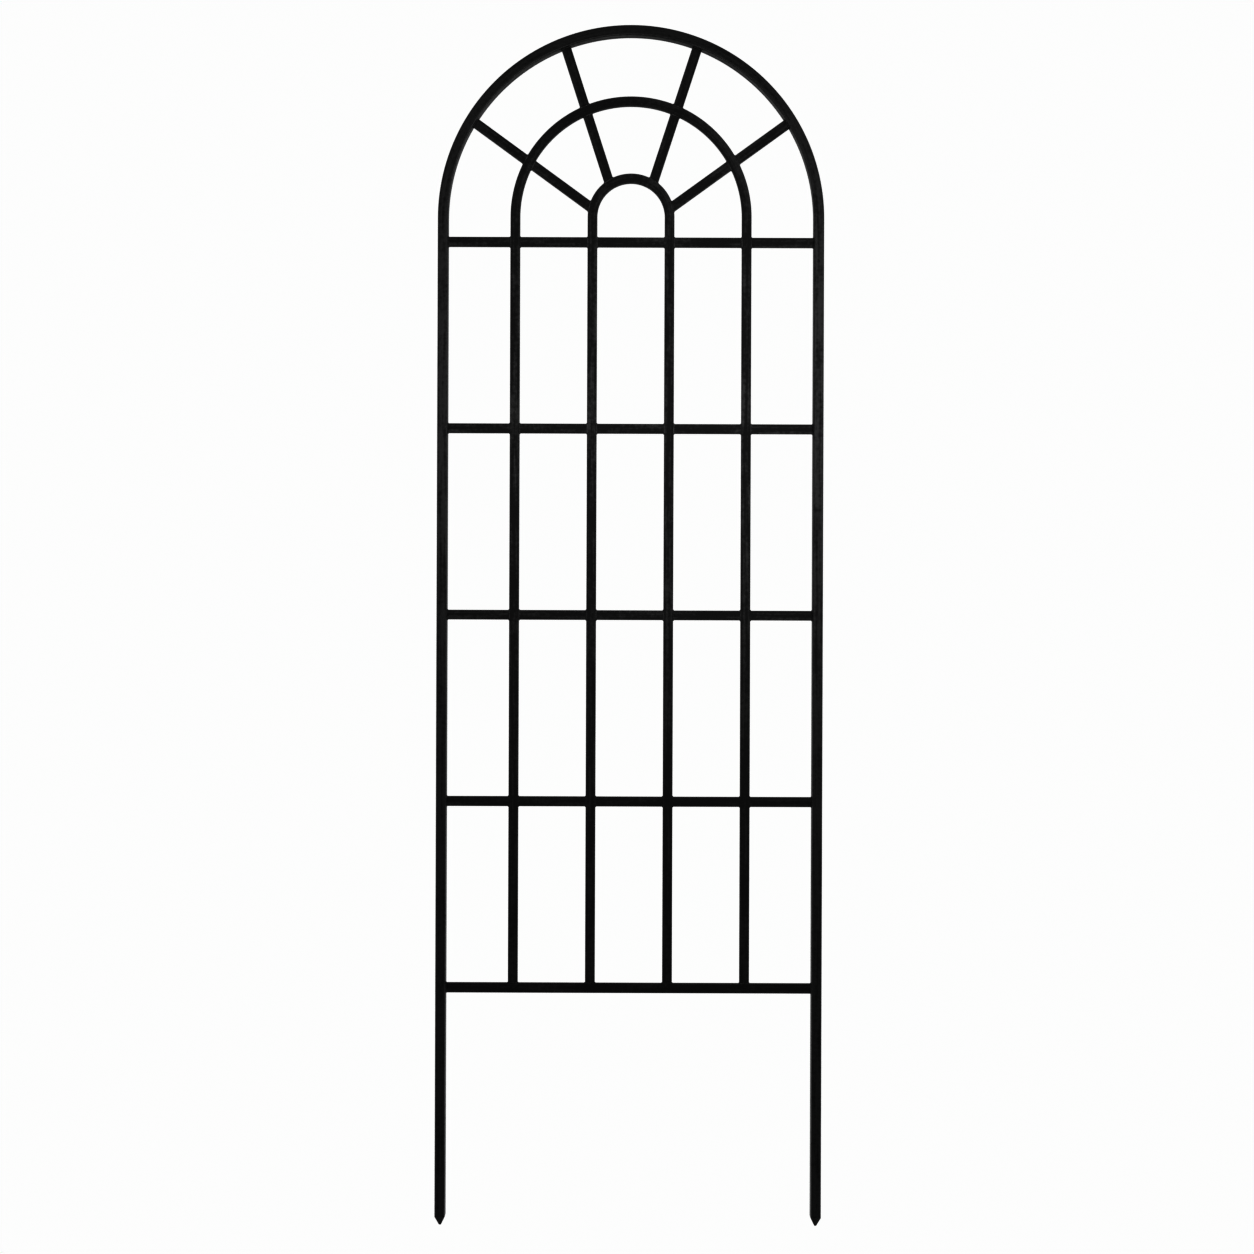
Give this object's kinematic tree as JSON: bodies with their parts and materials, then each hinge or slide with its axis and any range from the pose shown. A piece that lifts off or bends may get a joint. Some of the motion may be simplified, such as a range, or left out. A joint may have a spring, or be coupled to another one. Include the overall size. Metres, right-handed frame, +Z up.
{
  "type": "garden trellis panel",
  "caption": "Flat welded garden trellis with a half-round sunburst top, a grid of uprights and crossbars, and legs that end in pointed ground stakes.",
  "frame": {"origin": "midway between the tips of the ground stakes, in the panel's middle plane", "axes": "+Z up along the legs, +X to the right as seen from the front, +Y through the panel towards its back"},
  "size_m": [0.61, 0.016, 1.897],
  "materials": {
    "tube_coat": "satin black powder coat on bent square steel tube",
    "bar_coat": "satin black powder coat on flat steel bar",
    "weld_coat": "satin black powder coat over small weld beads"
  },
  "bodies": {
    "root": {"bottom_rail": "bar_coat", "crossbar_1_centre": "bar_coat", "crossbar_1_far_left": "bar_coat", "crossbar_1_far_right": "bar_coat", "crossbar_1_left": "bar_coat", "crossbar_1_right": "bar_coat", "crossbar_2_centre": "bar_coat", "crossbar_2_far_left": "bar_coat", "crossbar_2_far_right": "bar_coat", "crossbar_2_left": "bar_coat", "crossbar_2_right": "bar_coat", "crossbar_3_centre": "bar_coat", "crossbar_3_far_left": "bar_coat", "crossbar_3_far_right": "bar_coat", "crossbar_3_left": "bar_coat", "crossbar_3_right": "bar_coat", "crossbar_4_centre": "bar_coat", "crossbar_4_far_left": "bar_coat", "crossbar_4_far_right": "bar_coat", "crossbar_4_left": "bar_coat", "crossbar_4_right": "bar_coat", "hub_arch_bar": "bar_coat", "left_stake_point": "tube_coat", "middle_arch_bar": "bar_coat", "outer_frame_tube": "tube_coat", "right_stake_point": "tube_coat", "spoke_left_high_inner": "bar_coat", "spoke_left_high_outer": "bar_coat", "spoke_left_low_inner": "bar_coat", "spoke_left_low_outer": "bar_coat", "spoke_right_high_inner": "bar_coat", "spoke_right_high_outer": "bar_coat", "spoke_right_low_inner": "bar_coat", "spoke_right_low_outer": "bar_coat", "welds_bottom_rail": "weld_coat", "welds_crossbar_1": "weld_coat", "welds_crossbar_2": "weld_coat", "welds_crossbar_3": "weld_coat", "welds_crossbar_4": "weld_coat", "welds_spokes": "weld_coat"}
  },
  "joints": []
}
